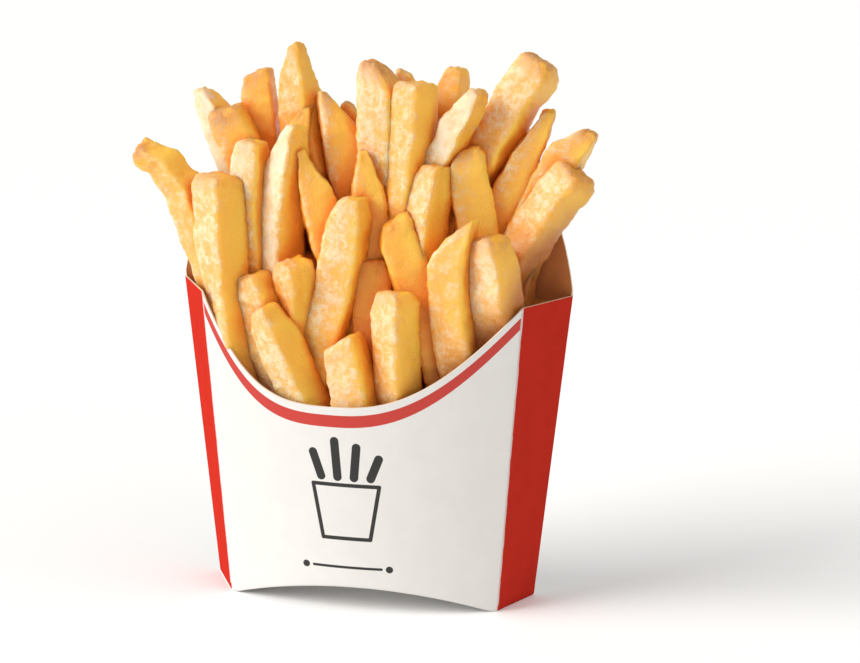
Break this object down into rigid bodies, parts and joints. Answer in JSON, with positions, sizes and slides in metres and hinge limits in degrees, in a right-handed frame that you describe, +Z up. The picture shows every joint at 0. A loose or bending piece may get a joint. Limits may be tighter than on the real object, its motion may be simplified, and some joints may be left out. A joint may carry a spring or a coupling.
{
  "type": "french fries in a carton",
  "caption": "Bundle of thick-cut french fries standing in a scooped folding carton with red sides and a white front.",
  "frame": {"origin": "middle of the whole object's footprint on the surface that it stands on", "axes": "+X to the right across the carton's front, +Y from the low front panel to the high back one, +Z up"},
  "size_m": [0.1262, 0.0398, 0.1531],
  "materials": {
    "coated_card": "coated card, white front and back, red sides",
    "fried_potato": "fried potato, pale to golden, lightly oily"
  },
  "bodies": {
    "root": {"carton": "coated_card", "fries": "fried_potato"}
  },
  "joints": []
}
